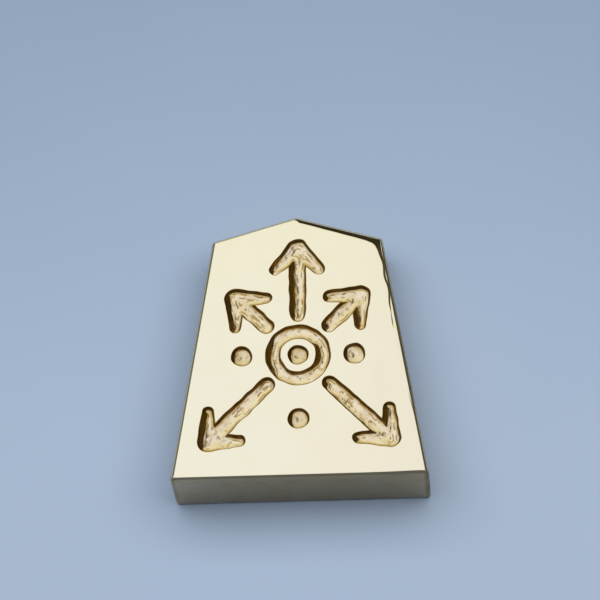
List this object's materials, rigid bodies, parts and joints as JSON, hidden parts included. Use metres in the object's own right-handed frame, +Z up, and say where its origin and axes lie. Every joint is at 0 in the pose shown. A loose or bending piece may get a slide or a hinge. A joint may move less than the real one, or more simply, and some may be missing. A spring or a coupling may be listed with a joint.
{
  "type": "shogi piece",
  "caption": "Flat five-sided shogi piece, a cast blank under bright gold plating, wedge-shaped in thickness, with a carved diagram of its moves on the polished face.",
  "frame": {"origin": "under the middle of the piece, on the flat back face that it lies on", "axes": "+X to the right across the piece, +Y along it from the base to the apex, +Z up out of the carved face"},
  "size_m": [0.0262, 0.0292, 0.0085],
  "materials": {
    "casting": "as cast, levelled under the plating",
    "plating": "bright gold over nickel and copper: mirror polished on the face, satin on the edge walls"
  },
  "bodies": {
    "root": {"cast_body": "casting", "gold_plating": "plating"}
  },
  "joints": []
}
